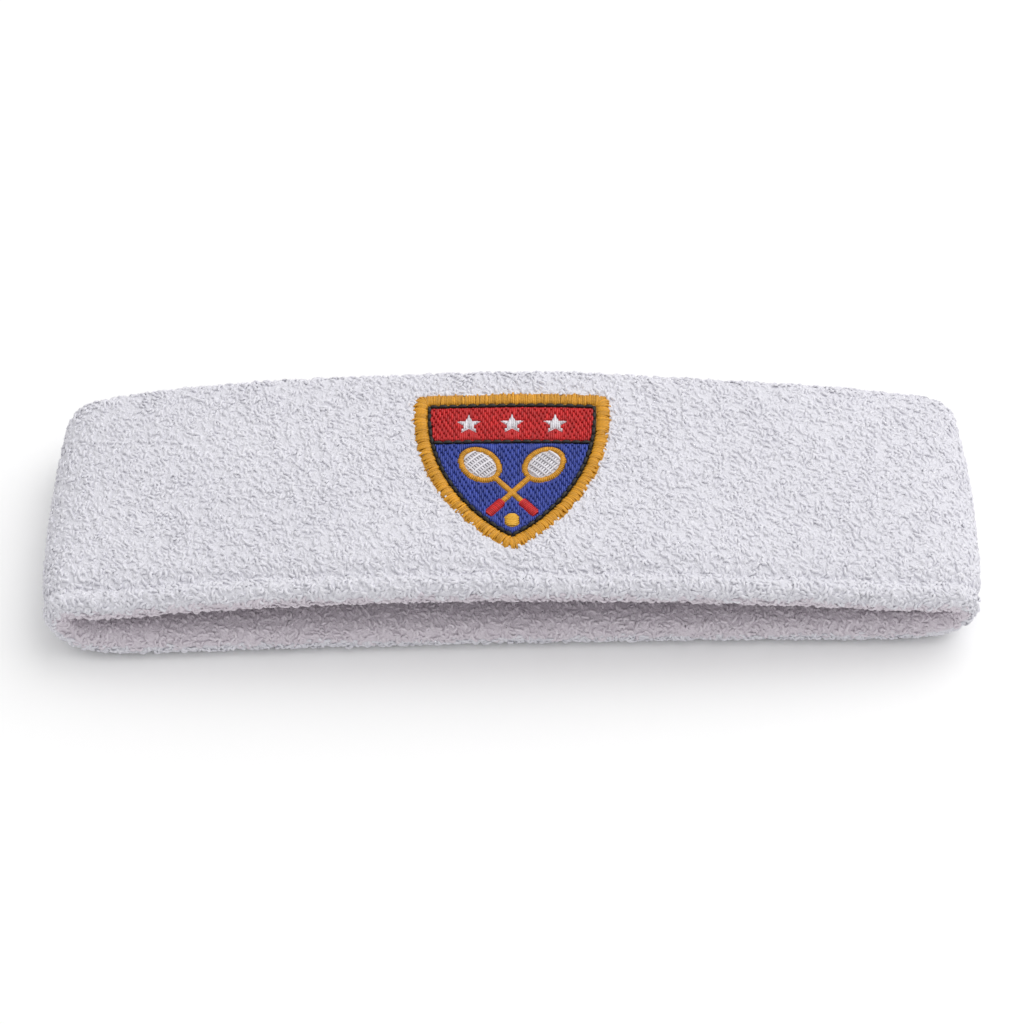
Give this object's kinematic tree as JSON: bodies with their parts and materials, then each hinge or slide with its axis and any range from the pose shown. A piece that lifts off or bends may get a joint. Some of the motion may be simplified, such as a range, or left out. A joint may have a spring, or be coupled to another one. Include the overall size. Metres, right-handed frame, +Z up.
{
  "type": "sports headband",
  "caption": "Soft terry sweatband for the head, a double-ply stretch loop lying flat, with an embroidered shield badge on the front.",
  "frame": {"origin": "on the surface it rests on, under the middle of the band", "axes": "+X along the band from fold to fold, +Y across its width towards the top of the badge, +Z up out of the front wall that carries the badge"},
  "size_m": [0.18, 0.055, 0.0204],
  "materials": {
    "ground_knit": "plain knitted cotton ground",
    "terry_pile": "looped cotton terry, cool white",
    "elastic_yarn": "rubber yarn covered in white polyester",
    "seam_knit": "raw ends of the ground rolled together",
    "sewing_thread": "spun polyester sewing thread",
    "backing": "soft non-woven tear-away",
    "bobbin_thread": "white bobbin thread",
    "underlay_thread": "underlay stitches, gold",
    "gold_thread": "satin-stitched rayon thread, old gold",
    "black_thread": "run stitches, black",
    "red_thread": "filled rayon thread, red",
    "blue_thread": "filled rayon thread, blue",
    "white_thread": "filled rayon thread, white",
    "yellow_thread": "filled rayon thread, yellow"
  },
  "bodies": {
    "root": {"ground_knit": "ground_knit", "pile_outside": "terry_pile", "pile_skin_side": "terry_pile", "elastic_yarns": "elastic_yarn", "seam_bead": "seam_knit", "seam_stitches": "sewing_thread", "embroidery_backing": "backing", "bobbin_thread": "bobbin_thread", "badge_underlay": "underlay_thread", "badge_border": "gold_thread", "badge_outline": "black_thread", "badge_chief": "red_thread", "badge_field": "blue_thread", "badge_stars": "white_thread", "racket_frames": "gold_thread", "racket_strings": "white_thread", "racket_grips": "red_thread", "badge_ball": "yellow_thread"}
  },
  "joints": []
}
